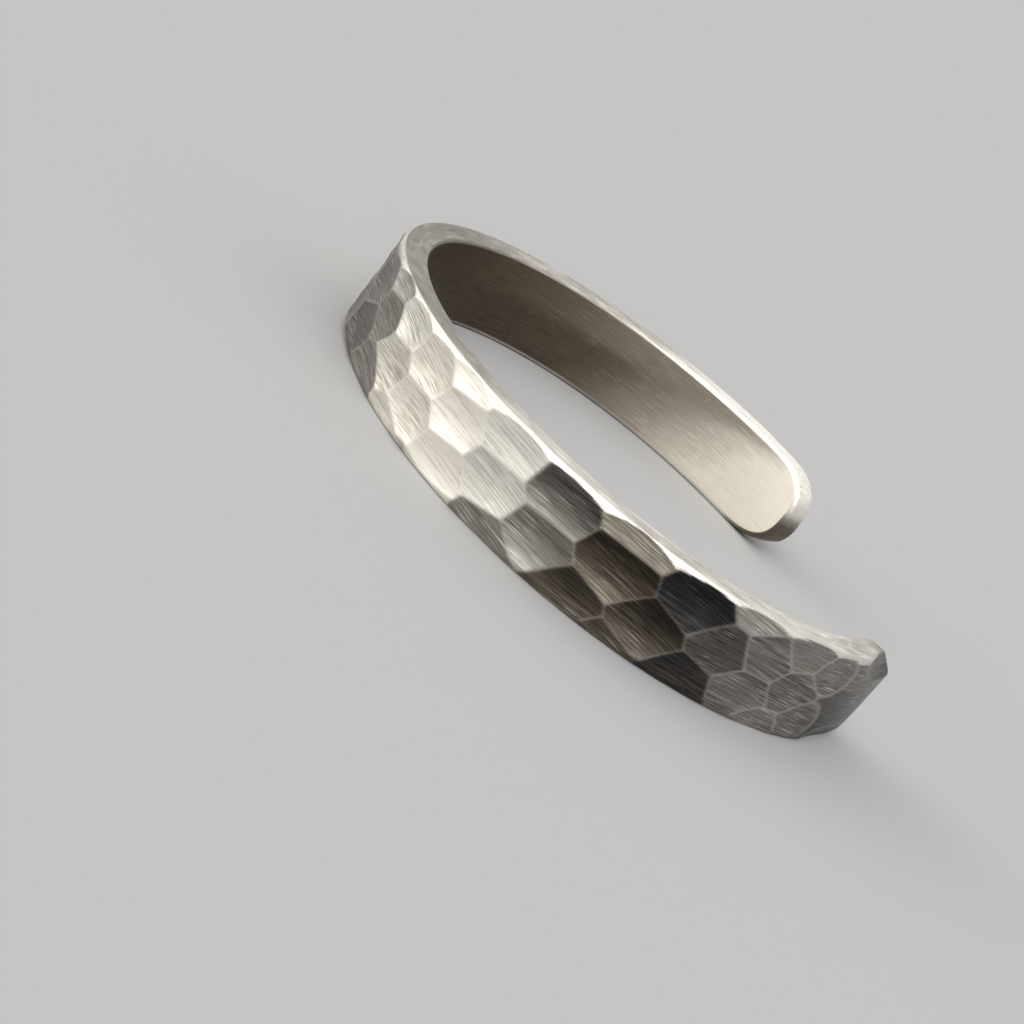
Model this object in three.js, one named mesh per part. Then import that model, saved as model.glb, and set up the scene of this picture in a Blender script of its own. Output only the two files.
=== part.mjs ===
// Hammered cuff bracelet in silver: one solid band, bent into an open oval.
// Millimetres, +Z up. The cuff lies on its lower rim with its gap towards +X.
import * as THREE from 'three';

// The hollow that the wrist fills, seen from above
const INNER_WIDTH = 60.4;      // across the hollow, from arm to arm
const BACK_DEPTH = 26.9;       // from the hollow's widest line to the inside of the back
const FRONT_DEPTH = 26.6;      // how deep the same oval would be on the open side
const GAP = 32.8;              // between the inner edges of the two ends

// The band
const BAND_WIDTH = 9.5;        // from rim to rim
const WALL_BACK = 2.9;         // thickness in the middle of the back
const WALL_END = 3.55;         // thickness at the ends
const TIP_REACH = 7.5;         // length over which the band's outline rounds to each tip
const TIP_SQUARENESS = 2.6;    // 2 would make this outline half an ellipse, more is squarer
const INNER_EASE = 0.55;       // radius where the rims meet the inner face
const BEVEL_WIDTH = 0.5;       // filed bevel along the outer edges, measured across the band
const BEVEL_DROP = 0.35;       // wall that this bevel takes away at the rims
const DENT_DEPTH = 0.3;        // depth of a hammer dent under the ridges round it
const SKIN_RISE = 0.3;         // wall above these ridges where nothing struck the band

// On one edge of each arm the bevel gets slighter, from one share of the way to a tip to another
const SLIGHT_BEVEL = { from: 0.62, to: 0.78, drop: 0.2 };

// The last part of each end is beaten flat and thins towards the tip
const TIP_TAPER = { length: 13.5, drop: 0.61 };

// Size of one dent, in shares: along is a share of half the band's length, from the middle
// of the back to a tip, and across is a share of half the band's width
const DENT_REACH = { along: 0.037, across: 0.465 };

// Middle of each dent on one arm, in the same shares. The other arm has the same dents
// turned upside down.
const DENTS = [
  { along: 0.03, across: 0.37 },
  { along: 0.06, across: -0.41 },
  { along: 0.095, across: 0.93 },
  { along: 0.105, across: 0.23 },
  { along: 0.135, across: -0.78 },
  { along: 0.16, across: 0.65 },
  { along: 0.17, across: -0.19 },
  { along: 0.215, across: -1.07 },
  { along: 0.235, across: 0.47 },
  { along: 0.24, across: -0.41 },
  { along: 0.285, across: 0.97 },
  { along: 0.30, across: 0.21 },
  { along: 0.315, across: -0.66 },
  { along: 0.375, across: 0.64 },
  { along: 0.38, across: -0.12 },
  { along: 0.40, across: -0.99 },
  { along: 0.445, across: 0.49 },
  { along: 0.45, across: -0.33 },
  { along: 0.53, across: 1.03 },
  { along: 0.53, across: 0.17 },
  { along: 0.505, across: -0.76 },
  { along: 0.56, across: -1.15 },
  { along: 0.62, across: 0.52 },
  { along: 0.59, across: -0.33 },
  { along: 0.685, across: 1.06 },
  { along: 0.67, across: 0.09 },
  { along: 0.65, across: -0.80 },
  { along: 0.72, across: 0.39 },
  { along: 0.72, across: -0.48 },
  { along: 0.765, across: 0.80 },
  { along: 0.785, across: -0.05 },
  { along: 0.765, across: -1.00 },
  { along: 0.825, across: 0.52 },
  { along: 0.825, across: -0.56 },
];

// Facets that cut off the two outer corners of a tip, in the same shares, with their sizes
const TIP_FACETS = [
  { along: 0.965, across: 0.98, reachAlong: 0.1, reachAcross: 0.58, depth: 1.8 },
  { along: 0.92, across: -1.05, reachAlong: 0.07, reachAcross: 0.55, depth: 0.95 },
];

// Fineness of the facets
const STEP_ALONG = 1.0;        // between sections along the band
const TIP_SECTIONS = 11;       // sections in the rounded part of each end
const ROWS_ACROSS = 9;         // rows of facets across the hammered face
const PLAN_SAMPLES = 4000;     // points in the table of the band's length

const SILVER = { name: 'silver', color: 0xc9c4bb, metalness: 1.0, roughness: 0.38 };

const halfWidth = BAND_WIDTH / 2;
const tipAngle = Math.PI - Math.asin(GAP / INNER_WIDTH);

// Point and outward direction on the hollow's oval. The angle is 0 at the back.
function ovalAt(angle) {
  const depth = Math.cos(angle) > 0 ? BACK_DEPTH : FRONT_DEPTH;
  const side = INNER_WIDTH / 2;
  const point = new THREE.Vector2(-depth * Math.cos(angle), -side * Math.sin(angle));
  const outward = new THREE.Vector2(point.x / depth ** 2, point.y / side ** 2).normalize();
  return { point, outward };
}

// Wall thickness over the ridges between dents, at a share of the way to a tip
function wallAt(along) {
  return WALL_BACK + (WALL_END - WALL_BACK) * along * along;
}

// The flat face that thins each end. Before the taper it is above the wall.
function taperAt(along) {
  const fromTip = (1 - Math.abs(along)) * band.half;
  return wallAt(along) - TIP_TAPER.drop * (1 - fromTip / TIP_TAPER.length);
}

// Table that turns a length along the outer face into the oval's angle
function measureBand() {
  const angles = [];
  const lengths = [];
  let last = null;
  let length = 0;
  for (let k = 0; k <= PLAN_SAMPLES; k += 1) {
    const share = (2 * k) / PLAN_SAMPLES - 1;
    const { point, outward } = ovalAt(share * tipAngle);
    const outer = point.addScaledVector(outward, wallAt(share));
    length += last ? outer.distanceTo(last) : 0;
    last = outer;
    angles.push(share * tipAngle);
    lengths.push(length);
  }
  return { angles, lengths, half: length / 2 };
}
const band = measureBand();

function angleAt(along) {
  const wanted = (along + 1) * band.half;
  let low = 0;
  let high = band.lengths.length - 1;
  while (high - low > 1) {
    const middle = (low + high) >> 1;
    if (band.lengths[middle] < wanted) low = middle;
    else high = middle;
  }
  const share = (wanted - band.lengths[low]) / (band.lengths[high] - band.lengths[low]);
  return band.angles[low] + share * (band.angles[high] - band.angles[low]);
}

// Half the band's width at a distance from the tip
function halfWidthAt(fromTip) {
  const intoTip = Math.max(0, 1 - fromTip / TIP_REACH);
  return halfWidth * (1 - intoTip ** TIP_SQUARENESS) ** (1 / TIP_SQUARENESS);
}

// How far a place on the unrolled band is from the band's outline
function distanceInside(fromTip, height) {
  const x = 1 - fromTip / TIP_REACH;
  const y = Math.abs(height) / halfWidth;
  if (x <= 0) return halfWidth - Math.abs(height);
  const level = (x ** TIP_SQUARENESS + y ** TIP_SQUARENESS) ** (1 / TIP_SQUARENESS);
  const slopeAlong = (x / level) ** (TIP_SQUARENESS - 1) / TIP_REACH;
  const slopeAcross = (y / level) ** (TIP_SQUARENESS - 1) / halfWidth;
  return (1 - level) / Math.hypot(slopeAlong, slopeAcross);
}

// Surface of the filed bevel, as a thickness of wall
function bevelAt(along, height) {
  const fromTip = (1 - Math.abs(along)) * band.half;
  const { from, to, drop: slight } = SLIGHT_BEVEL;
  const onEdge = along * height > 0 ? THREE.MathUtils.smoothstep(Math.abs(along), from, to) : 0;
  const drop = BEVEL_DROP + (slight - BEVEL_DROP) * onEdge;
  const full = Math.min(wallAt(along), taperAt(along));
  return full - drop * (1 - distanceInside(fromTip, height) / BEVEL_WIDTH);
}

// The other arm's dents and facets are this arm's, turned upside down
function onBothArms(places) {
  return places.flatMap((place) => [
    place,
    { ...place, along: -place.along, across: -place.across },
  ]);
}
const dents = onBothArms(DENTS);
const tipFacets = onBothArms(TIP_FACETS);

// The dents nearest to a place, deepest first, with their surfaces as thickness of wall
function dentsAt(along, height) {
  const across = height / halfWidth;
  const found = dents.map((dent) => {
    const x = (along - dent.along) / DENT_REACH.along;
    const y = (across - dent.across) / DENT_REACH.across;
    return { dent, rise: x * x + y * y };
  });
  return found.sort((a, b) => a.rise - b.rise).slice(0, 2);
}

// Surface of the facets that cut off the corners of the tips
function tipFacetAt(along, height) {
  const surfaces = tipFacets.map((facet) => {
    const x = (along - facet.along) / facet.reachAlong;
    const y = (height / halfWidth - facet.across) / facet.reachAcross;
    return wallAt(along) - facet.depth * (1 - x * x - y * y);
  });
  return Math.min(...surfaces);
}

// The struck face, with the band's own skin where no dent reaches
function struckAt(along, height) {
  const dented = wallAt(along) - DENT_DEPTH * (1 - dentsAt(along, height)[0].rise);
  const skin = wallAt(along) + SKIN_RISE;
  return Math.min(dented, taperAt(along), skin, tipFacetAt(along, height));
}

// The finished outer face: whatever was struck or filed deepest
function outerAt(along, height) {
  return Math.min(struckAt(along, height), bevelAt(along, height));
}

// Height at which the bevel meets the struck face, on the upper (side 1) or lower (side -1) edge
function bevelLine(along, side) {
  const edge = halfWidthAt((1 - Math.abs(along)) * band.half);
  let outside = edge;
  let inside = edge - Math.min(edge / 2, 2 * BEVEL_WIDTH);
  for (let k = 0; k < 30; k += 1) {
    const middle = (outside + inside) / 2;
    if (bevelAt(along, side * middle) < struckAt(along, side * middle)) outside = middle;
    else inside = middle;
  }
  const leastBevel = BEVEL_WIDTH / 10;
  return side * Math.min(inside, edge - leastBevel);
}

// A place close to a ridge slides onto it, so that the ridges are sharp lines of edges
function slideToRidge(place, reach) {
  const [first, second] = dentsAt(place.along, place.height);
  const alongUnit = DENT_REACH.along * band.half;
  const acrossUnit = DENT_REACH.across * halfWidth;
  const slope = new THREE.Vector2(
    (2 * (first.dent.along - second.dent.along) * band.half) / alongUnit ** 2,
    (2 * (first.dent.across - second.dent.across) * halfWidth) / acrossUnit ** 2,
  );
  const shift = slope.multiplyScalar((second.rise - first.rise) / slope.lengthSq());
  if (Math.abs(shift.x) > reach.along || Math.abs(shift.y) > reach.across) return place;
  return { along: place.along - shift.x / band.half, height: place.height - shift.y };
}

// Shares along the band at which the sections stand, from tip to tip
function sectionPlaces() {
  const rounded = [];
  for (let k = 1; k < TIP_SECTIONS; k += 1) {
    const turn = (k / TIP_SECTIONS) * (Math.PI / 2);
    rounded.push(1 - (TIP_REACH * (1 - Math.cos(turn))) / band.half);
  }
  const straight = 1 - TIP_REACH / band.half;
  const steps = Math.round((2 * straight * band.half) / STEP_ALONG);
  const middle = [];
  for (let k = 0; k <= steps; k += 1) {
    middle.push(straight * ((2 * k) / steps - 1));
  }
  const mirrored = rounded.map((along) => -along);
  return [...mirrored, ...middle, ...rounded.reverse()];
}

// One section through the band: a ring of places { along, height, wall }
function sectionRing(along) {
  const edge = halfWidthAt((1 - Math.abs(along)) * band.half);
  const upper = bevelLine(along, 1);
  const lower = bevelLine(along, -1);
  const ring = [];
  const ease = Math.min(INNER_EASE, edge / 2);
  const turned = ease * (1 - Math.SQRT1_2);
  ring.push({ along, height: turned - edge, wall: turned });
  for (const height of [ease - edge, 0, edge - ease]) {
    ring.push({ along, height, wall: 0 });
  }
  ring.push({ along, height: edge - turned, wall: turned });
  ring.push({ along, height: edge, wall: ease });
  ring.push({ along, height: edge, wall: outerAt(along, edge) });
  const inTheOpen = Math.abs(along) < 1 - TIP_REACH / band.half;
  for (let row = 0; row <= ROWS_ACROSS; row += 1) {
    const height = upper + (lower - upper) * (row / ROWS_ACROSS);
    let place = { along, height };
    if (inTheOpen && row > 0 && row < ROWS_ACROSS) {
      const rowGap = (upper - lower) / ROWS_ACROSS;
      place = slideToRidge(place, { along: 0.45 * STEP_ALONG, across: 0.45 * rowGap });
    }
    ring.push({ ...place, wall: outerAt(place.along, place.height) });
  }
  ring.push({ along, height: -edge, wall: outerAt(along, -edge) });
  ring.push({ along, height: -edge, wall: ease });
  return ring;
}

function toSpace({ along, height, wall }) {
  const { point, outward } = ovalAt(angleAt(along));
  return [point.x + outward.x * wall, point.y + outward.y * wall, halfWidth + height];
}

// Of a facet's two diagonals, true for the one from a to c if it follows the face better
function crestRunsAC(a, b, c, d) {
  const miss = (p, q) => {
    const middle = outerAt((p.along + q.along) / 2, (p.height + q.height) / 2);
    return Math.abs((p.wall + q.wall) / 2 - middle);
  };
  return miss(a, c) <= miss(b, d);
}

function makeBand() {
  const rings = sectionPlaces().map(sectionRing);
  const size = rings[0].length;
  const positions = rings.flat().flatMap(toSpace);
  const index = [];
  for (let k = 0; k + 1 < rings.length; k += 1) {
    for (let n = 0; n < size; n += 1) {
      const m = (n + 1) % size;
      const [a, b, c, d] = [[k, n], [k, m], [k + 1, m], [k + 1, n]];
      const [ia, ib, ic, id] = [a, b, c, d].map(([r, p]) => r * size + p);
      const [pa, pb, pc, pd] = [a, b, c, d].map(([r, p]) => rings[r][p]);
      if (crestRunsAC(pa, pb, pc, pd)) index.push(ia, ib, ic, ia, ic, id);
      else index.push(ia, ib, id, ib, ic, id);
    }
  }
  // Each tip is closed by a fan round the middle of its end face
  for (const [k, turned] of [[0, true], [rings.length - 1, false]]) {
    const ring = rings[k];
    const centre = positions.length / 3;
    const wall = ring.reduce((sum, place) => sum + place.wall, 0) / size;
    positions.push(...toSpace({ along: ring[0].along, height: 0, wall }));
    for (let n = 0; n < size; n += 1) {
      const m = (n + 1) % size;
      if (turned) index.push(centre, k * size + m, k * size + n);
      else index.push(centre, k * size + n, k * size + m);
    }
  }
  const geometry = new THREE.BufferGeometry();
  geometry.setAttribute('position', new THREE.Float32BufferAttribute(positions, 3));
  geometry.setIndex(index);
  // The origin is under the middle of the cuff, at the lower rim
  geometry.computeBoundingBox();
  const middle = geometry.boundingBox.getCenter(new THREE.Vector3());
  geometry.translate(-middle.x, -middle.y, 0);
  geometry.computeVertexNormals();
  return geometry;
}

const cuff = new THREE.Group();
cuff.name = 'cuff_bracelet';
const cuffBand = new THREE.Mesh(makeBand(), new THREE.MeshStandardMaterial(SILVER));
cuffBand.name = 'cuff_band';
cuff.add(cuffBand);

export default cuff;
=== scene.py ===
"""Hammered silver cuff bracelet, lying on its lower rim on a pale floor."""
import math

import bpy
import numpy as np
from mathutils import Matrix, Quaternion, Vector


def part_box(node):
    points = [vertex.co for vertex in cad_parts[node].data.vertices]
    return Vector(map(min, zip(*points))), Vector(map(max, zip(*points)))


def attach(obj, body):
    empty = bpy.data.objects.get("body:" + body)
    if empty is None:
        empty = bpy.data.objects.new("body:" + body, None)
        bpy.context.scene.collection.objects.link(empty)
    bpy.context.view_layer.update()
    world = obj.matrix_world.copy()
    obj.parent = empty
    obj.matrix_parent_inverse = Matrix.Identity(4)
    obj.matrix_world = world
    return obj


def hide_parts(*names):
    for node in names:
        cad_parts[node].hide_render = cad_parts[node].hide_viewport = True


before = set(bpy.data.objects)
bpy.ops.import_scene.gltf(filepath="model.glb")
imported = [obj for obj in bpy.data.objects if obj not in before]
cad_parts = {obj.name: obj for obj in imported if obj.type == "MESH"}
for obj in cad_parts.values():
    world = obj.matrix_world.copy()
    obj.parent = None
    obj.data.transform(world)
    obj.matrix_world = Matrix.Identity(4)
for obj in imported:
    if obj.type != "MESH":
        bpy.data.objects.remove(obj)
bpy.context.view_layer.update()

# All sizes are in millimetres, and shares of the band's length run from 0 in the middle of the
# back to 1 at the tip of one arm and -1 at the other. Shares of its width run from -1 to 1.
MM = 0.001

# The hollow that the wrist fills, seen from above
INNER_WIDTH = 60.4
BACK_DEPTH = 26.9
FRONT_DEPTH = 26.6
GAP = 32.8

# The band
BAND_WIDTH = 9.5
WALL_BACK = 2.9
WALL_END = 3.55
TIP_REACH = 7.5
TIP_SQUARENESS = 2.6
INNER_EASE = 0.55
OUTER_EASE = 0.12
BEVEL_WIDTH = 0.5
BEVEL_DROP = 0.35
SLIGHT_BEVEL = (0.62, 0.78, 0.2)  # on one edge, from and to these shares, down to this drop
TAPER_LENGTH = 13.5              # the last part of each end is beaten flat
TAPER_DROP = 0.61                # and thins towards the tip by this much
DENT_DEPTH = 0.3
SKIN_RISE = 0.3                  # wall above the ridges where nothing struck the band
DENT_REACH = (0.037, 0.465)      # size of a dent, in shares
RIDGE_SOFTNESS = 0.016           # how far the ridges are worn down
RIDGE_SHINE = 0.028              # and how far the tarnish is rubbed off beside them, as wear and painted highlight
BEVEL_SOFTNESS = 0.012
POLISH_REACH = (0.35, 0.9)       # how far in from the rim the polish of the upper bevel fades
POLISH_END = (0.87, 0.94)        # and at which shares of the length it fades towards a tip

# Middle of each dent on one arm, as shares of the length and the width.
# The other arm has the same dents turned upside down.
DENTS = [
    (0.03, 0.37), (0.06, -0.41), (0.095, 0.93), (0.105, 0.23), (0.135, -0.78), (0.16, 0.65),
    (0.17, -0.19), (0.215, -1.07), (0.235, 0.47), (0.24, -0.41), (0.285, 0.97), (0.30, 0.21),
    (0.315, -0.66), (0.375, 0.64), (0.38, -0.12), (0.40, -0.99), (0.445, 0.49), (0.45, -0.33),
    (0.53, 1.03), (0.53, 0.17), (0.505, -0.76), (0.56, -1.15), (0.62, 0.52), (0.59, -0.33),
    (0.685, 1.06), (0.67, 0.09), (0.65, -0.80), (0.72, 0.39), (0.72, -0.48), (0.765, 0.80),
    (0.785, -0.05), (0.765, -1.00), (0.825, 0.52), (0.825, -0.56),
]

# Facets that cut off the two outer corners of a tip
TIP_FACETS = [
    # along, across, reach along, reach across, depth
    (0.965, 0.98, 0.10, 0.58, 1.8),
    (0.92, -1.05, 0.07, 0.55, 0.95),
]

# Patches of tarnish and painted dark reflection on the outer face: where each is thickest, how
# far it reaches, how thick it is, how warm, and how much painted shade darkens each dent in it
# towards its upper edge and lightens it towards its lower edge, or below 0 the other way round.
# A dent takes its tarnish and painted shade from the place where it was struck.
TARNISH_AND_SHADE_PATCHES = [
    # along, across, reach along, reach across, thickness, warmth, painted shade lean
    (0.05, -0.10, 0.09, 1.6, 0.53, 0.4, 0.0),
    (0.10, 0.20, 0.025, 0.3, 0.12, 0.4, 0.0),
    (0.13, -0.85, 0.03, 0.4, 0.26, 0.4, 0.0),
    (0.215, 0.10, 0.06, 1.0, 0.16, 1.0, -0.8),
    (0.375, 0.25, 0.03, 0.8, 0.10, 0.6, 0.0),
    (0.40, -1.00, 0.03, 0.25, 0.28, 0.3, 0.0),
    (0.45, 0.40, 0.04, 0.8, 0.50, 0.3, 0.7),
    (0.48, -0.85, 0.06, 0.5, 0.35, 0.6, 0.4),
    (0.53, -0.10, 0.06, 1.2, 0.72, 0.9, 0.5),
    (0.53, 1.00, 0.03, 0.25, 0.20, 0.8, 0.0),
    (0.59, -0.50, 0.05, 0.8, 0.58, 0.8, 0.45),
    (0.63, 0.50, 0.03, 0.6, 0.97, 0.0, 0.2),
    (0.66, -0.60, 0.035, 0.8, 0.88, 0.2, 0.0),
    (0.71, 0.30, 0.06, 1.4, 0.22, 0.2, 0.0),
    (0.82, -0.10, 0.15, 1.6, 0.50, 0.4, 0.0),
    (0.92, -1.00, 0.04, 0.4, 0.45, 0.0, 0.0),
    (0.94, 0.00, 0.05, 2.5, 0.56, 0.1, -0.3),
    (0.965, 0.98, 0.02, 0.3, 0.25, 0.1, 0.0),
]
CLEAN_WARMTH = 0.7
CLEAN_WEIGHT = 0.05              # how much bare silver counts where the patches are mixed
UNEVENNESS = 0.02                # by how much the dents differ in their tarnish
SHADE_LEAN_MOST = 1.3                # the tarnish with painted shade on a dent's darker side, at most
POLISHED_BEVEL = 0.5             # how much of the rim's tarnish the polished bevel has
TAPER_MIDDLE = 0.92              # where the flat part of each end takes its tarnish and painted shade from

# Tarnish along the upper rim from the tip of one arm to the other, and painted shade along the
# inner face and its darker upper part from the back to each tip: share of the length, thickness
RIM_TARNISH = [
    (-1.0, 0.04), (-0.9, 0.0), (-0.78, 0.02), (-0.65, 0.22), (-0.45, 0.21), (-0.25, 0.37),
    (0.0, 0.3), (0.2, 0.33), (0.4, 0.1), (0.6, 0.17), (0.72, 0.12), (0.9, 0.2), (1.0, 0.6),
]
INNER_SHADE = [
    (0.0, 0.68), (0.45, 0.66), (0.6, 0.6), (0.7, 0.38), (0.8, 0.16), (0.88, 0.02), (1.0, 0.0),
]
UPPER_SHADE = [(0.0, 0.7), (0.4, 0.6), (0.6, 0.42), (0.75, 0.34), (0.9, 0.26), (1.0, 0.16)]
UPPER_BORDER = (0.15, 0.9)       # where the darker part starts, at the back and at the tips
BORDER_RISE = (0.55, 1.0)        # between which shares of the length it rises
BORDER_BLUR = 0.2
INNER_LEAN = 0.06                # how far the inner painted shade leans with the height
RIM_WARMTH = 0.5

# Painted shade on the lower part of the ends: the shares of the length and the depths below the
# band's middle at which it starts and is full, and how much thicker and warmer the tone is there
LOW_END_ALONG = (0.9, 0.96)
LOW_END_DOWN = (-1.2, 1.0)
LOW_END_SHADE = 0.5
LOW_END_WARMTH = 0.4

# File strokes: from how many degrees to how many they turn in a dent, over what length their
# start differs, and how deep in the pattern the inner face and the rims lie, apart from the
# outer face
STROKE_TURN = (-9, 3)
STROKE_START = 40
INNER_SLICE = -6.0
RIM_SLICE = 8.0

# Fineness of the mesh
STEP_ALONG = 0.19
TIP_SECTIONS = 26
ROWS_OUTSIDE = 62
ROWS_INSIDE = 12
OUTER_EASE_ROWS = 3
INNER_EASE_ROWS = 6
PLAN_SAMPLES = 8001
SEED = 7
ALMOST_ZERO = 1e-9

half_width = BAND_WIDTH / 2
tip_angle = math.pi - math.asin(GAP / INNER_WIDTH)


def smooth(x, low, high):
    """From 0 to 1 as x goes from low to high, with soft ends."""
    t = np.clip((x - low) / (high - low), 0, 1)
    return t * t * (3 - 2 * t)


def oval_at(angle):
    """Points and outward directions on the hollow's oval. The angle is 0 at the back."""
    depth = np.where(np.cos(angle) > 0, BACK_DEPTH, FRONT_DEPTH)
    side = INNER_WIDTH / 2
    point = np.stack([-depth * np.cos(angle), -side * np.sin(angle)], -1)
    outward = np.stack([point[..., 0] / depth ** 2, point[..., 1] / side ** 2], -1)
    outward /= np.linalg.norm(outward, axis=-1, keepdims=True)
    return point, outward


def wall_at(along):
    """The wall before it is struck, filed or thinned."""
    return WALL_BACK + (WALL_END - WALL_BACK) * along ** 2


def taper_at(along):
    """The flat face that thins each end. Before the taper it is above the wall."""
    from_tip = (1 - np.abs(along)) * half_length
    return wall_at(along) - TAPER_DROP * (1 - from_tip / TAPER_LENGTH)


def measure_band():
    """Table that turns a length along the outer face into the oval's angle."""
    shares = np.linspace(-1, 1, PLAN_SAMPLES)
    point, outward = oval_at(shares * tip_angle)
    outer = point + outward * wall_at(shares)[:, None]
    steps = np.linalg.norm(np.diff(outer, axis=0), axis=1)
    return np.concatenate([[0], np.cumsum(steps)]), shares * tip_angle


band_lengths, band_angles = measure_band()
half_length = band_lengths[-1] / 2


def place(along, height, wall):
    """Points in space for places on the unrolled band."""
    angle = np.interp((along + 1) * half_length, band_lengths, band_angles)
    point, outward = oval_at(angle)
    return np.concatenate([point + outward * wall[..., None], (half_width + height)[..., None]], -1)


def outline_height(from_tip):
    """Half the band's width at a distance from the tip."""
    into_tip = np.clip(1 - from_tip / TIP_REACH, 0, 1)
    return half_width * (1 - into_tip ** TIP_SQUARENESS) ** (1 / TIP_SQUARENESS)


def inside_by(from_tip, height):
    """How far a place on the unrolled band is from its outline."""
    n = TIP_SQUARENESS
    x = np.clip(1 - from_tip / TIP_REACH, ALMOST_ZERO, None)
    y = np.abs(height) / half_width
    level = (x ** n + y ** n) ** (1 / n)
    slope = np.hypot((x / level) ** (n - 1) / TIP_REACH, (y / level) ** (n - 1) / half_width)
    return np.where(from_tip < TIP_REACH, (1 - level) / slope, half_width - np.abs(height))


def inset_line(along, inset):
    """The upper edge of the band, moved inwards along the outline's normal."""
    from_tip = (1 - np.abs(along)) * half_length
    height = outline_height(from_tip)
    n = TIP_SQUARENESS
    x = np.clip(1 - from_tip / TIP_REACH, 0, 1)
    normal = np.stack([x ** (n - 1) / TIP_REACH, (height / half_width) ** (n - 1) / half_width], -1)
    normal /= np.linalg.norm(normal, axis=-1, keepdims=True)
    moved = along - np.sign(along) * normal[:, 0] * inset / half_length
    return moved, height - normal[:, 1] * inset


def on_both_arms(table):
    """The other arm has the same marks, turned upside down."""
    table = np.array(table)
    turned = table.copy()
    turned[:, :2] *= -1
    return np.concatenate([table, turned])


def as_facets(dents, tips):
    """Dents and tip facets as one table: along, across, reach along, reach across, depth."""
    size = np.tile([*DENT_REACH, DENT_DEPTH], (len(dents), 1))
    return np.concatenate([np.concatenate([dents, size], 1), tips])


def tarnish_and_shade_of(middles):
    """Tarnish with painted reflection in each facet: thickness, warmth, painted shade lean."""
    side = np.where(middles[:, :1] < 0, -1, 1)
    along, across = middles[:, :1] * side, middles[:, 1:] * side
    patches = np.array(TARNISH_AND_SHADE_PATCHES)
    far_along = (along - patches[:, 0]) / patches[:, 2]
    far_across = (across - patches[:, 1]) / patches[:, 3]
    weight = np.exp(-far_along ** 2 - far_across ** 2) * patches[:, 4]
    whole = weight.sum(1) + CLEAN_WEIGHT
    thickness = 1 - np.prod(1 - weight, axis=1)
    warmth = ((weight * patches[:, 5]).sum(1) + CLEAN_WEIGHT * CLEAN_WARMTH) / whole
    shade_lean = (weight * patches[:, 6]).sum(1) / whole
    return thickness, warmth, shade_lean


facets = as_facets(on_both_arms(DENTS), on_both_arms(TIP_FACETS))
tapers = np.array([(TAPER_MIDDLE, 0.0), (-TAPER_MIDDLE, 0.0)])
painted = np.concatenate([facets[:, :2], tapers])
draw = np.random.default_rng(SEED)
facet_tarnish_and_shade, facet_warmth, facet_shade_lean = tarnish_and_shade_of(painted)
facet_tarnish_and_shade = np.clip(facet_tarnish_and_shade + draw.normal(0, UNEVENNESS, len(painted)), 0, 1)
stroke_turn = np.radians(draw.uniform(*STROKE_TURN, len(painted)))
stroke_start = draw.uniform(0, STROKE_START, len(painted))


def soft_least(surfaces, softness):
    """The lowest of some surfaces, with the ridges between them worn round."""
    lowest = surfaces.min(-1, keepdims=True)
    return lowest[..., 0] - softness * np.log(np.exp((lowest - surfaces) / softness).sum(-1))


def shares_of(surfaces, softness):
    """How far each surface is the lowest one."""
    weights = np.exp((surfaces.min(-1, keepdims=True) - surfaces) / softness)
    return weights / weights.sum(-1, keepdims=True)


def struck_surfaces(along, height):
    """Wall under each facet and under the flat part of each end, and where nothing struck it."""
    x = (along[..., None] - facets[:, 0]) / facets[:, 2]
    y = (height[..., None] / half_width - facets[:, 1]) / facets[:, 3]
    full = wall_at(along)[..., None]
    skin = full + SKIN_RISE
    struck = full - facets[:, 4] * (1 - x ** 2 - y ** 2)
    own_end = along[..., None] * tapers[:, 0] > 0
    taper = np.where(own_end, taper_at(along)[..., None], skin)
    return np.concatenate([struck, taper, skin], -1)


def outer_at(along, height):
    """Wall thickness, and tarnish with painted shade, warmth, ridge and bevel on the outer face."""
    surfaces = struck_surfaces(along, height)
    struck = soft_least(surfaces, RIDGE_SOFTNESS)
    shares = shares_of(surfaces, RIDGE_SHINE)
    ridge = np.clip(2 * (1 - (shares ** 2).sum(-1)), 0, 1)
    shares = shares[..., :-1] / shares[..., :-1].sum(-1, keepdims=True)
    # Painted shade: each dent is darker towards one edge and lighter towards the other
    from_middle = (height[..., None] / half_width - painted[:, 1]) / DENT_REACH[1]
    upward = from_middle * np.sign(painted[:, 0])
    thickness = facet_tarnish_and_shade * np.clip(1 + facet_shade_lean * upward, 0, SHADE_LEAN_MOST)
    tarnish_and_shade = (shares * thickness).sum(-1)
    warmth = (shares * facet_warmth).sum(-1)
    from_tip = (1 - np.abs(along)) * half_length
    start, end, slight = SLIGHT_BEVEL
    on_edge = along * height > 0
    drop = BEVEL_DROP + on_edge * (slight - BEVEL_DROP) * smooth(np.abs(along), start, end)
    full = np.minimum(wall_at(along), taper_at(along))
    inside = inside_by(from_tip, height)
    filed = full - drop * (1 - inside / BEVEL_WIDTH)
    both = np.stack([struck, filed], -1)
    wall = soft_least(both, BEVEL_SOFTNESS)
    bevel = shares_of(both, BEVEL_SOFTNESS)[..., 1]
    polished = bevel * smooth(height, -1, 1) * (1 - smooth(inside, *POLISH_REACH))
    polished = polished * (1 - smooth(np.abs(along), *POLISH_END))
    rim_tarnish = tarnish_and_shade_along(along, RIM_TARNISH)
    tarnish_and_shade = tarnish_and_shade * (1 - polished) + POLISHED_BEVEL * polished * rim_tarnish
    return wall, np.stack([tarnish_and_shade, warmth, ridge * (1 - bevel), bevel], -1)


def tarnish_and_shade_along(along, table):
    """Thickness of the tarnish and painted shade from a table of shares of the length."""
    shares, thickness = np.array(table).T
    return np.interp(along, shares, thickness)


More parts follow.
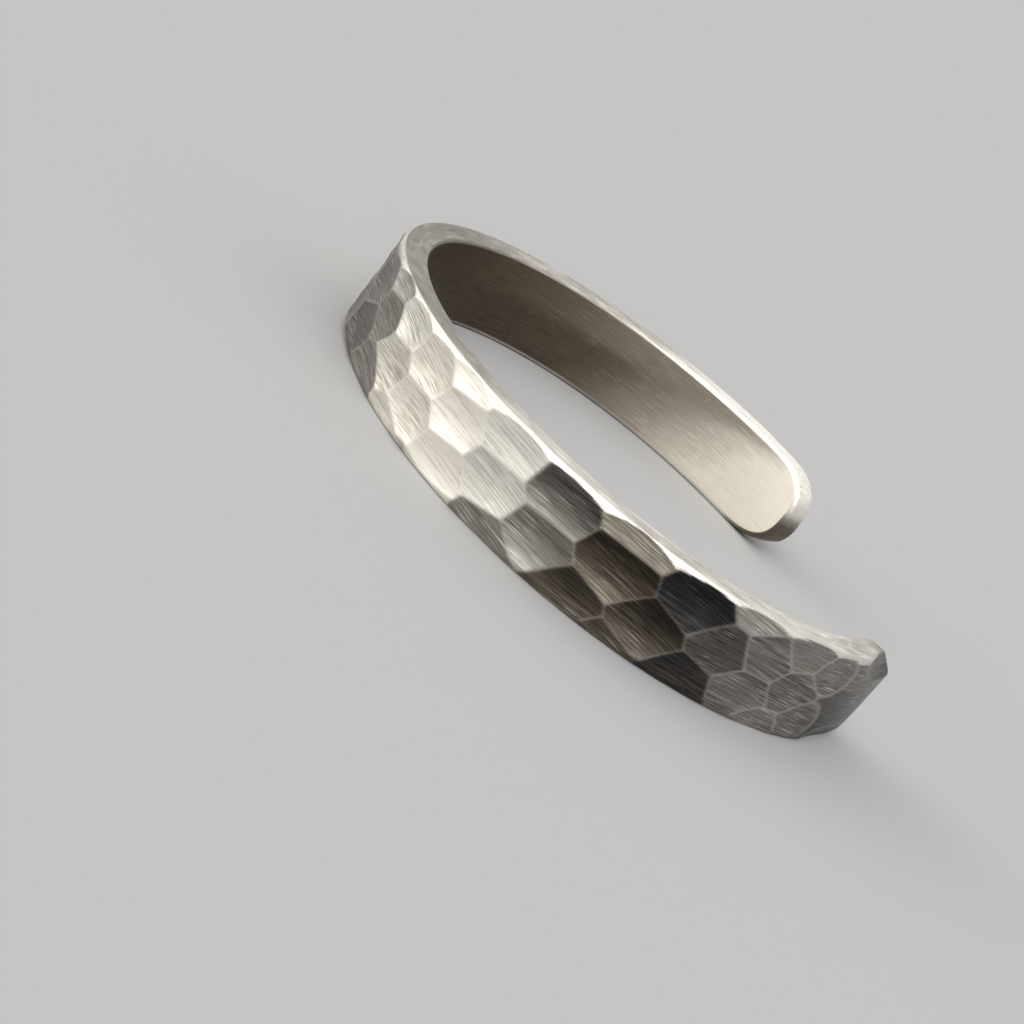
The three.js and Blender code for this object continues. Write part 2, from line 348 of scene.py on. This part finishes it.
def inner_tone(along, height):
    """Inner face painted shade: thin at tips, thick at the back, with a darker upper part."""
    across = height / half_width
    along = np.abs(along)
    low, high = UPPER_BORDER
    border = low + (high - low) * smooth(along, *BORDER_RISE)
    upper = smooth(across, border - BORDER_BLUR, border + BORDER_BLUR)
    lower = tarnish_and_shade_along(along - INNER_LEAN * across, INNER_SHADE)
    tarnish_and_shade = lower + upper * (tarnish_and_shade_along(along, UPPER_SHADE) - lower)
    zero = np.zeros_like(along)
    return np.stack([tarnish_and_shade, zero + 1, zero, zero], -1)


def rim_tone(along, height):
    """Tarnish of the rims and the two ends, with painted shade on the ends' lower parts."""
    zero = np.zeros_like(along)
    low_end_shade = smooth(np.abs(along), *LOW_END_ALONG) * smooth(-height, *LOW_END_DOWN)
    tarnish_and_shade = tarnish_and_shade_along(along, RIM_TARNISH) + LOW_END_SHADE * low_end_shade
    warmth = RIM_WARMTH + LOW_END_WARMTH * low_end_shade
    return np.stack([tarnish_and_shade, warmth, zero, zero + 1], -1)


class Surface:
    """Vertices, faces and surface values of a mesh under way."""

    def __init__(self):
        self.points, self.flat, self.tones, self.satin, self.faces = [], [], [], [], []
        self.count = 0

    def add(self, along, height, wall, tone, depth=0.0, satin=0.0):
        self.points.append(place(along, height, wall))
        self.flat.append(np.stack([along * half_length, height, 0 * along + depth], -1))
        self.satin.append(0 * along + satin)
        self.tones.append(tone)
        start = self.count
        self.count += len(along)
        return start + np.arange(len(along))

    def strip(self, first, second, closed=False):
        """Quads between two lines of vertices."""
        n = len(first)
        here = np.arange(n if closed else n - 1)
        after = (here + 1) % n
        quads = np.stack([first[here], first[after], second[after], second[here]], -1)
        self.faces.extend(quads.tolist())


def sections():
    """Shares along the band at which the mesh has a section, without the two tips."""
    straight = 1 - TIP_REACH / half_length
    steps = round(2 * straight * half_length / STEP_ALONG)
    turns = np.arange(1, TIP_SECTIONS) / TIP_SECTIONS * (math.pi / 2)
    rounded = 1 - TIP_REACH * (1 - np.cos(turns)) / half_length
    return np.concatenate([-rounded, np.linspace(-straight, straight, steps + 1), rounded[::-1]])


def add_face(surface, stations, inset, rows, outer):
    """The outer or inner face inside a line round it, and that line."""
    moved, edge = inset_line(stations, inset)

    def points(along, height):
        if outer:
            wall, tone = outer_at(along, height)
            return surface.add(along, height, wall, tone)
        return surface.add(along, height, 0 * along, inner_tone(along, height), INNER_SLICE, 1.0)

    lines = [points(moved, edge * (1 - 2 * row / rows)) for row in range(rows + 1)]
    tip = np.array([1 - inset / half_length])
    first, last = int(points(-tip, 0 * tip)[0]), int(points(tip, 0 * tip)[0])
    for upper, lower in zip(lines[:-1], lines[1:]):
        if outer:
            surface.strip(lower, upper)
        else:
            surface.strip(upper, lower)
        left = [first, int(lower[0]), int(upper[0])]
        right = [int(lower[-1]), last, int(upper[-1])]
        surface.faces.extend([left, right] if outer else [left[::-1], right[::-1]])
    return np.concatenate([[first], lines[0], [last], lines[-1][::-1]])


def add_rim(surface, stations, outer_loop, inner_loop):
    """The rims and the two ends, as loops from the outer face round to the inner face."""
    zero = np.zeros(1)

    def loop_places(inset):
        moved, height = inset_line(stations, inset)
        tip = np.array([1 - inset / half_length])
        along = np.concatenate([-tip, moved, tip, moved[::-1]])
        return along, np.concatenate([zero, height, zero, -height[::-1]])

    def add_loop(inset, wall):
        along, height = loop_places(inset)
        return surface.add(along, height, wall, rim_tone(along, height), wall + RIM_SLICE)

    # The outer round goes from the face to the rim, with the sharp edge as its control point
    edge_wall = outer_at(*loop_places(0.0))[0]
    face_wall = outer_at(*loop_places(OUTER_EASE))[0]
    rim_wall = edge_wall - OUTER_EASE
    loops = [outer_loop]
    for step in range(1, OUTER_EASE_ROWS + 1):
        t = step / OUTER_EASE_ROWS
        wall = (1 - t) ** 2 * face_wall + 2 * t * (1 - t) * edge_wall + t * t * rim_wall
        loops.append(add_loop(OUTER_EASE * (1 - t) ** 2, wall))
    loops.append(add_loop(0.0, (rim_wall + INNER_EASE) / 2))
    for step in range(INNER_EASE_ROWS):
        turn = step / INNER_EASE_ROWS * math.pi / 2
        wall = 0 * edge_wall + INNER_EASE * (1 - math.sin(turn))
        loops.append(add_loop(INNER_EASE * (1 - math.cos(turn)), wall))
    loops.append(inner_loop)
    for first, second in zip(loops[:-1], loops[1:]):
        surface.strip(first, second, closed=True)


def fit_to_box(points):
    """The fine surface fills the same box as the solid."""
    low, high = points.min(0), points.max(0)
    solid_low, solid_high = (np.array(corner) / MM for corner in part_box("cuff_band"))
    scale = (solid_high - solid_low) / (high - low)
    return solid_low + (points - low) * scale


def stroke_places(mesh, flat):
    """Places along and across the file strokes for each corner of each face.

    The strokes run along the band, and in each dent they are turned a little.
    """
    loop_vertex = np.empty(len(mesh.loops), np.int32)
    mesh.loops.foreach_get("vertex_index", loop_vertex)
    sizes = np.empty(len(mesh.polygons), np.int32)
    mesh.polygons.foreach_get("loop_total", sizes)
    corners = flat[loop_vertex]
    starts = np.concatenate([[0], np.cumsum(sizes)[:-1]])
    middle = np.add.reduceat(corners, starts, axis=0) / sizes[:, None]
    surfaces = struck_surfaces(middle[:, 0] / half_length, middle[:, 1])[:, :-1]
    struck_by = np.repeat(np.argmin(surfaces, axis=1), sizes)
    on_face = corners[:, 2] == 0
    turn = np.where(on_face, stroke_turn[struck_by], 0.0)
    start = np.where(on_face, stroke_start[struck_by], 0.0)
    u, v = corners[:, 0], corners[:, 1]
    along = u * np.cos(turn) + v * np.sin(turn) + start
    across = v * np.cos(turn) - u * np.sin(turn)
    return np.stack([along, across, corners[:, 2] + start], -1)


def build_cuff():
    stations = sections()
    surface = Surface()
    outer_loop = add_face(surface, stations, OUTER_EASE, ROWS_OUTSIDE, True)
    inner_loop = add_face(surface, stations, INNER_EASE, ROWS_INSIDE, False)
    add_rim(surface, stations, outer_loop, inner_loop)
    points = fit_to_box(np.concatenate(surface.points)) * MM
    flat = np.concatenate(surface.flat)

    mesh = bpy.data.meshes.new("cuff_silver")
    mesh.from_pydata(points.tolist(), [], surface.faces)
    mesh.polygons.foreach_set("use_smooth", [True] * len(mesh.polygons))
    tone = mesh.attributes.new("tone", "FLOAT_COLOR", "POINT")
    tone.data.foreach_set("color", np.concatenate(surface.tones).astype(np.float32).ravel())
    satin = mesh.attributes.new("satin", "FLOAT", "POINT")
    satin.data.foreach_set("value", np.concatenate(surface.satin).astype(np.float32))
    strokes = mesh.attributes.new("strokes", "FLOAT_VECTOR", "CORNER")
    strokes.data.foreach_set("vector", stroke_places(mesh, flat).astype(np.float32).ravel())
    mesh.update()
    cuff = bpy.data.objects.new("cuff_silver", mesh)
    bpy.context.collection.objects.link(cuff)
    return cuff


class Nodes:
    """Short calls for building a material's nodes."""

    def __init__(self, tree):
        self.tree = tree

    def new(self, kind, **settings):
        node = self.tree.nodes.new("ShaderNode" + kind)
        for name, value in settings.items():
            setattr(node, name, value)
        return node

    def link(self, output, socket):
        self.tree.links.new(output, socket)

    def fill(self, socket, value):
        if isinstance(value, bpy.types.NodeSocket):
            self.link(value, socket)
        else:
            socket.default_value = value

    def math(self, operation, a, b):
        node = self.new("Math", operation=operation)
        self.fill(node.inputs[0], a)
        self.fill(node.inputs[1], b)
        return node.outputs[0]

    def add(self, total, *others):
        for other in others:
            total = self.math("ADD", total, other)
        return total

    def times(self, product, *others):
        for other in others:
            product = self.math("MULTIPLY", product, other)
        return product

    def spread(self, value, low, high, at_low=0.0, at_high=1.0):
        """Goes from one number to another as a value goes from low to high."""
        node = self.new("MapRange")
        names = ("Value", "From Min", "From Max", "To Min", "To Max")
        for name, number in zip(names, (value, low, high, at_low, at_high)):
            self.fill(node.inputs[name], number)
        return node.outputs["Result"]

    def blend(self, value, at_zero, at_one):
        """Goes from one number to another as a value goes from 0 to 1."""
        return self.spread(value, 0.0, 1.0, at_zero, at_one)

    def stretched(self, vector, scale):
        mapping = self.new("Mapping")
        self.link(vector, mapping.inputs["Vector"])
        mapping.inputs["Scale"].default_value = scale
        return mapping.outputs["Vector"]

    def noise(self, vector, scale, detail, roughness, low, high, least, most):
        """Noise between low and high, brought to between least and most."""
        node = self.new("TexNoise")
        self.link(self.stretched(vector, scale), node.inputs["Vector"])
        node.inputs["Scale"].default_value = 1.0
        node.inputs["Detail"].default_value = detail
        node.inputs["Roughness"].default_value = roughness
        return self.spread(node.outputs["Fac"], low, high, least, most)

    def parts(self, colour):
        node = self.new("SeparateColor")
        self.link(colour, node.inputs["Color"])
        return node.outputs["Red"], node.outputs["Green"], node.outputs["Blue"]

    def ramp(self, value, stops):
        node = self.new("ValToRGB")
        self.link(value, node.inputs["Fac"])
        elements = node.color_ramp.elements
        while len(elements) < len(stops):
            elements.new(0.5)
        for element, (position, colour) in zip(elements, stops):
            element.position = position
            element.color = (*colour, 1)
        return node.outputs["Color"]

    def mix(self, factor, a, b):
        node = self.new("Mix", data_type="RGBA")
        self.fill(node.inputs["Factor"], factor)
        self.fill(node.inputs["A"], a)
        self.fill(node.inputs["B"], b)
        return node.outputs["Result"]


# Colour of the silver under more and more tarnish and painted shade, brown and blue-black
WARM_TARNISH_AND_SHADE = [
    (0.0, (0.95, 0.90, 0.80)), (0.25, (0.43, 0.385, 0.32)), (0.5, (0.17, 0.139, 0.105)),
    (0.75, (0.064, 0.049, 0.036)), (1.0, (0.024, 0.018, 0.014)),
]
COOL_TARNISH_AND_SHADE = [
    (0.0, (0.93, 0.92, 0.90)), (0.25, (0.41, 0.402, 0.39)), (0.5, (0.155, 0.151, 0.147)),
    (0.75, (0.052, 0.053, 0.056)), (1.0, (0.018, 0.019, 0.023)),
]

# Patterns along and across the strokes
NOISE = {
    # per mm along, across and in depth; detail, roughness; noise from, to; pattern from, to
    "fine": ((0.3, 9.0, 1.0), 2.0, 0.65, 0.38, 0.62, -1.2, 1.2),
    "broad": ((0.16, 4.0, 1.0), 2.0, 0.6, 0.35, 0.65, -0.45, 0.45),
    "deep": ((0.35, 9.0, 2.0), 0.0, 0.5, 0.66, 0.74, 0.0, 2.0),
    "calm": ((0.3, 0.4, 0.5), 1.0, 0.5, 0.36, 0.6, 0.45, 1.0),
    "cloud": ((0.5, 0.8, 1.0), 4.0, 0.6, 0.3, 0.7, -1.0, 1.0),
}

# How much of the strokes shows on the ridges, on the inner face and on the rims
RIDGE_STROKES = 0.15
INNER_STROKES = 0.35
RIM_STROKES = 0.5
STROKE_FADE = (0.2, 0.9)         # from where to where on a ridge's side they fade

# Pits and nicks: how many cells they have in a mm along, across and in depth, which share of
# the cells is empty on the faces and on the rims, the size of a pit's floor and of its mouth,
# and how a pit changes the tarnish on the faces and on the rims
PIT_CELLS = (1.1, 1.6, 1.0)
EMPTY_CELLS = (0.82, 0.6)
PIT_SIZE = (0.02, 0.11)
PIT_TARNISH = (-0.3, 0.22)

# How the tarnish thins on the ridges by wear and painted highlight, how much a stroke cuts off
# in bare silver and more in tarnished, and how cloudy the tarnish, the faces and the inner face are
RIDGE_KEEPS = 0.6
RIDGE_FADE = (0.1, 1.0)
STROKE_CUT = 0.085
TARNISH_CUT = 0.04
TARNISH_CLOUDS = 0.05
FACE_CLOUDS = (0.015, -0.02)

# Roughness of bare and of tarnished silver, between which tarnish it changes, how much rougher
# the inner face is, and how much smoother the strokes are
ROUGHNESS = (0.5, 0.35)
ROUGHNESS_CHANGE = (0.15, 0.5)
INNER_ROUGHNESS = 0.12
STROKE_SHINE = 0.02

# Relief: depth of the strokes and of the pits in steps, one step, and how strongly it shows
STROKE_DEPTH = 0.4
PIT_DEPTH = 3.0
RELIEF_STEP = 0.006
RELIEF_STRENGTH = 0.4


def stroke_pattern(n, strokes, ridge, satin, rim):
    """File strokes: fine and broad ones and some deeper ones, with calm patches between."""
    fine = n.noise(strokes, *NOISE["fine"])
    broad = n.noise(strokes, *NOISE["broad"])
    deep = n.noise(strokes, *NOISE["deep"])
    calm = n.noise(strokes, *NOISE["calm"])
    off_ridges = n.spread(ridge, *STROKE_FADE, 1.0, RIDGE_STROKES)
    on_outside = n.blend(satin, 1.0, INNER_STROKES)
    off_rims = n.blend(rim, 1.0, RIM_STROKES)
    return n.times(n.add(fine, broad, deep), calm, off_ridges, on_outside, off_rims)


def pit_pattern(n, strokes, rim):
    """Fine pits and nicks, one in some of the cells of a random grid, and more on the rims."""
    cells = n.new("TexVoronoi", feature="F1")
    n.link(n.stretched(strokes, PIT_CELLS), cells.inputs["Vector"])
    cells.inputs["Scale"].default_value = 1.0
    chance = n.parts(cells.outputs["Color"])[0]
    filled = n.math("GREATER_THAN", chance, n.blend(rim, *EMPTY_CELLS))
    return n.times(n.spread(cells.outputs["Distance"], *PIT_SIZE, 1.0, 0.0), filled)


def tarnish_and_shade_pattern(n, strokes, tarnish_and_shade, ridge, satin, rim, streak, pit):
    """Cloudy tarnish and painted shade, thinner on ridges and where a stroke has cut through."""
    # Tarnish thinned on the ridges: wear, and a painted highlight
    worn = n.times(tarnish_and_shade, n.spread(ridge, *RIDGE_FADE, 1.0, RIDGE_KEEPS))
    cut = n.times(streak, n.add(n.times(tarnish_and_shade, -TARNISH_CUT), -STROKE_CUT))
    clouding = n.add(n.times(tarnish_and_shade, TARNISH_CLOUDS), n.blend(satin, *FACE_CLOUDS))
    cloud = n.times(n.noise(strokes, *NOISE["cloud"]), clouding)
    in_pit = n.times(pit, n.blend(rim, *PIT_TARNISH))
    return n.math("MAXIMUM", n.add(worn, cut, cloud, in_pit), 0.0)


def silver():
    material = bpy.data.materials.new("hammered_silver")
    material.use_nodes = True
    n = Nodes(material.node_tree)
    shader = material.node_tree.nodes["Principled BSDF"]
    tone = n.new("Attribute", attribute_name="tone")
    strokes = n.new("Attribute", attribute_name="strokes").outputs["Vector"]
    satin = n.new("Attribute", attribute_name="satin").outputs["Fac"]
    tarnish_and_shade, warmth, ridge = n.parts(tone.outputs["Color"])
    rim = tone.outputs["Alpha"]
    streak = stroke_pattern(n, strokes, ridge, satin, rim)
    pit = pit_pattern(n, strokes, rim)

    thick = tarnish_and_shade_pattern(n, strokes, tarnish_and_shade, ridge, satin, rim, streak, pit)
    colour = n.mix(warmth, n.ramp(thick, COOL_TARNISH_AND_SHADE), n.ramp(thick, WARM_TARNISH_AND_SHADE))
    n.link(colour, shader.inputs["Base Color"])

    outside = n.spread(tarnish_and_shade, *ROUGHNESS_CHANGE, *ROUGHNESS)
    inside = n.blend(satin, 0.0, INNER_ROUGHNESS)
    rough = n.add(outside, inside, n.times(streak, -STROKE_SHINE))
    n.link(rough, shader.inputs["Roughness"])
    shader.inputs["Metallic"].default_value = 1.0

    relief = n.add(n.times(streak, -STROKE_DEPTH), n.times(pit, -PIT_DEPTH))
    bump = n.new("Bump")
    bump.inputs["Strength"].default_value = RELIEF_STRENGTH
    bump.inputs["Distance"].default_value = RELIEF_STEP * MM
    n.link(relief, bump.inputs["Height"])
    n.link(bump.outputs["Normal"], shader.inputs["Normal"])
    return material


# Floor: how far it reaches from the middle, in metres, and its colour
FLOOR_REACH = 12.0
FLOOR_COLOUR = (0.395, 0.3934, 0.3957, 1)


def add_floor():
    mesh = bpy.data.meshes.new("floor")
    signs = [(-1, -1), (1, -1), (1, 1), (-1, 1)]
    mesh.from_pydata([(x * FLOOR_REACH, y * FLOOR_REACH, 0) for x, y in signs], [], [(0, 1, 2, 3)])
    floor = bpy.data.objects.new("floor", mesh)
    bpy.context.collection.objects.link(floor)
    material = bpy.data.materials.new("pale_floor")
    material.use_nodes = True
    shader = material.node_tree.nodes["Principled BSDF"]
    shader.inputs["Base Color"].default_value = FLOOR_COLOUR
    shader.inputs["Roughness"].default_value = 1.0
    shader.inputs["Specular IOR Level"].default_value = 0.0
    mesh.materials.append(material)


# The studio is a bright sky, greyer near the horizon, with large soft lamps in it.
# The first column of SKY is the sine of the height above the horizon.
SKY = [(0.03, 0.564), (0.12, 0.42), (0.26, 0.46), (0.45, 0.95), (1.0, 1.1)]
LAMPS = [
    # azimuth, elevation, half width, half height, brightness
    (165, 16, 32, 18, 3.3),
    (66, 12, 9, 8, 0.55),
    (-105, 42, 26, 16, 4.0),
]
LAMP_EDGE = (0.65, 1.2)          # where a lamp starts to fade and where it ends, in half sizes
LIGHT_COLOUR = (1.0, 0.99, 0.97, 1.0)


def lamp_in_sky(n, direction, azimuth, elevation, half_wide, half_high, brightness):
    """A soft bright patch of the sky."""
    turn, rise = math.radians(azimuth), math.radians(elevation)
    centre = (math.cos(turn) * math.cos(rise), math.sin(turn) * math.cos(rise), math.sin(rise))
    offset = n.new("VectorMath", operation="SUBTRACT")
    n.link(direction, offset.inputs[0])
    offset.inputs[1].default_value = centre
    wide, high = math.sin(math.radians(half_wide)), math.sin(math.radians(half_high))
    scaled = n.new("VectorMath", operation="DIVIDE")
    n.link(offset.outputs["Vector"], scaled.inputs[0])
    scaled.inputs[1].default_value = (wide, wide, high)
    length = n.new("VectorMath", operation="LENGTH")
    n.link(scaled.outputs["Vector"], length.inputs[0])
    return n.spread(length.outputs["Value"], *LAMP_EDGE, brightness, 0.0)


def add_lights():
    world = bpy.data.worlds.new("studio")
    bpy.context.scene.world = world
    world.use_nodes = True
    n = Nodes(world.node_tree)
    direction = n.new("TexCoord").outputs["Generated"]
    split = n.new("SeparateXYZ")
    n.link(direction, split.inputs["Vector"])
    brightness = SKY[0][1]
    for (low, dim), (high, bright) in zip(SKY[:-1], SKY[1:]):
        step = n.spread(split.outputs["Z"], low, high, 0.0, bright - dim)
        brightness = n.add(step, brightness)
    for lamp in LAMPS:
        brightness = n.add(lamp_in_sky(n, direction, *lamp), brightness)
    background = world.node_tree.nodes["Background"]
    background.inputs["Color"].default_value = LIGHT_COLOUR
    n.link(brightness, background.inputs["Strength"])


# Camera: the photograph's view of the cuff. Its frame is square.
FOCAL_PIXELS = 2058
IMAGE_PIXELS = 1024
SENSOR = 36.0
CAMERA_PLACE = Vector((-58.47, -177.56, 52.04)) * MM
CAMERA_TARGET = Vector((-13.57, -32.0, 4.75)) * MM
CAMERA_ROLL = math.radians(38.8)


def add_camera():
    data = bpy.data.cameras.new("camera")
    data.sensor_width = SENSOR
    data.lens = SENSOR * FOCAL_PIXELS / IMAGE_PIXELS
    data.clip_start = 0.01
    data.clip_end = 100
    camera = bpy.data.objects.new("camera", data)
    look = (CAMERA_TARGET - CAMERA_PLACE).to_track_quat("-Z", "Y")
    camera.rotation_euler = (look @ Quaternion((0, 0, 1), CAMERA_ROLL)).to_euler()
    camera.location = CAMERA_PLACE
    bpy.context.collection.objects.link(camera)
    bpy.context.scene.camera = camera
    bpy.context.scene.view_settings.view_transform = "Standard"


add_camera()
cuff = build_cuff()
cuff.data.materials.append(silver())
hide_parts("cuff_band")
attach(cuff, "root")
add_floor()
add_lights()
